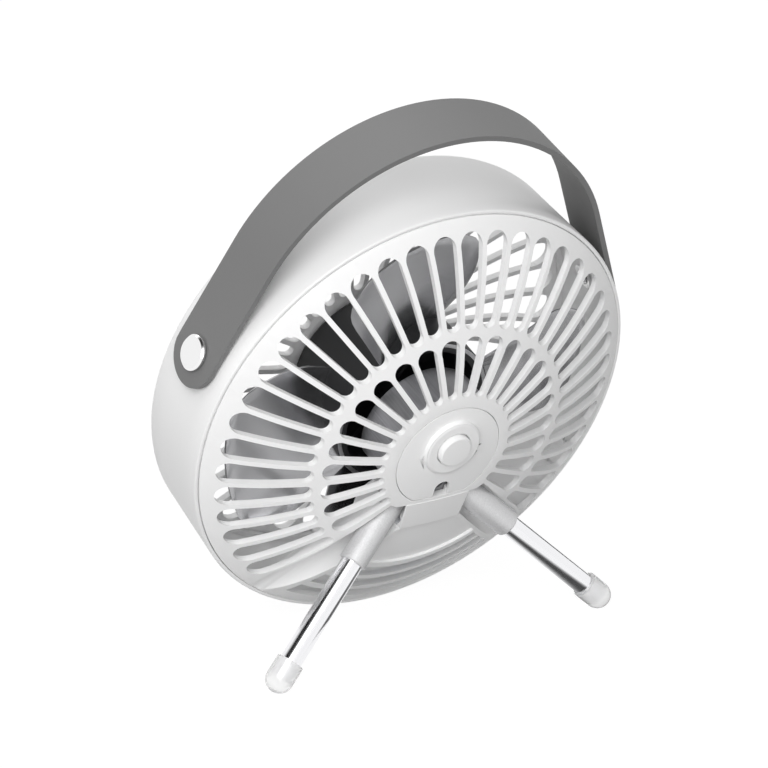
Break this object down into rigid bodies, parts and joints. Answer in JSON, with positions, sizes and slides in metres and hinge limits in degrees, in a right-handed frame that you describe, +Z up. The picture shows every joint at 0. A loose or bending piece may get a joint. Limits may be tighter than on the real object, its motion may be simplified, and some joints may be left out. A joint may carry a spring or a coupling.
{
  "type": "portable camping fan",
  "caption": "Round battery fan with a domed rear guard, a belt handle riveted to its sides and fold-out legs that lean it back.",
  "frame": {"origin": "on the ground under the middle of the fan's bounding box, with the legs open", "axes": "+Z up, the air leaves towards -Y, the domed back and the legs face +Y, +X across"},
  "size_m": [0.1728, 0.092, 0.1992],
  "materials": {
    "drum_plastic": "white moulded plastic, soft sheen",
    "guard_plastic": "white moulded plastic, fine matt",
    "blade_plastic": "light grey moulded plastic",
    "black_plastic": "black moulded plastic",
    "belt": "mid grey smooth soft plastic belt",
    "rivet_steel": "polished plated steel",
    "sleeve_metal": "blasted, satin",
    "tube_chrome": "polished",
    "cap_rubber": "milky translucent soft plastic",
    "plated_steel": "zinc plated",
    "motor_steel": "drawn steel",
    "magnet": "dull ferrite",
    "copper_winding": "enamelled copper on steel",
    "bronze": "sintered bronze",
    "board": "green solder mask",
    "cell_wrap": "blue shrink wrap"
  },
  "bodies": {
    "fan_body": {"drum_housing": "drum_plastic", "front_guard": "guard_plastic", "rear_guard": "guard_plastic", "hub_cover": "guard_plastic", "power_switch": "black_plastic", "circuit_board": "board", "charging_socket": "black_plastic", "battery_cell": "cell_wrap", "battery_tray": "black_plastic", "tray_screws": "plated_steel", "board_screws": "plated_steel", "motor_screws": "plated_steel", "motor_can": "motor_steel", "motor_end_plate": "motor_steel", "motor_magnets": "magnet", "motor_bushes": "bronze", "handle_rivets": "rivet_steel", "rivet_washers": "rivet_steel", "left_hinge_pin": "plated_steel", "right_hinge_pin": "plated_steel"},
    "rotor": {"rotor_hub": "black_plastic", "fan_blades": "blade_plastic", "motor_shaft": "plated_steel", "motor_armature": "copper_winding"},
    "handle": {"belt_handle": "belt"},
    "button": {"power_button": "guard_plastic", "switch_plunger": "black_plastic"},
    "left_leg": {"left_leg_sleeve": "sleeve_metal", "left_leg_tube": "tube_chrome", "left_foot_cap": "cap_rubber"},
    "right_leg": {"right_leg_sleeve": "sleeve_metal", "right_leg_tube": "tube_chrome", "right_foot_cap": "cap_rubber"}
  },
  "joints": [
    {"name": "rotor_spin", "type": "hinge", "parent": "fan_body", "child": "rotor", "pos_m": [0, 0.00345, 0.08598], "axis": [0, 0.9563, -0.2924], "continuous": true},
    {"name": "left_leg_fold", "type": "hinge", "parent": "fan_body", "child": "left_leg", "pos_m": [0.0165, 0.02373, 0.05312], "axis": [-0.6914, -0.0097, -0.7224], "range_deg": [0, 35.26]},
    {"name": "right_leg_fold", "type": "hinge", "parent": "fan_body", "child": "right_leg", "pos_m": [-0.0165, 0.02373, 0.05312], "axis": [-0.6914, 0.0097, 0.7224], "range_deg": [0, 35.26]},
    {"name": "handle_rock", "type": "hinge", "parent": "fan_body", "child": "handle", "pos_m": [0, 0.00705, 0.11932], "axis": [1, 0, 0], "range_deg": [-7, 7]},
    {"name": "button_press", "type": "slide", "parent": "fan_body", "child": "button", "axis": [0, -0.9563, 0.2924], "range_m": [0, 0.001], "stiffness_N_per_m": 900, "springref_m": -0.0008}
  ]
}
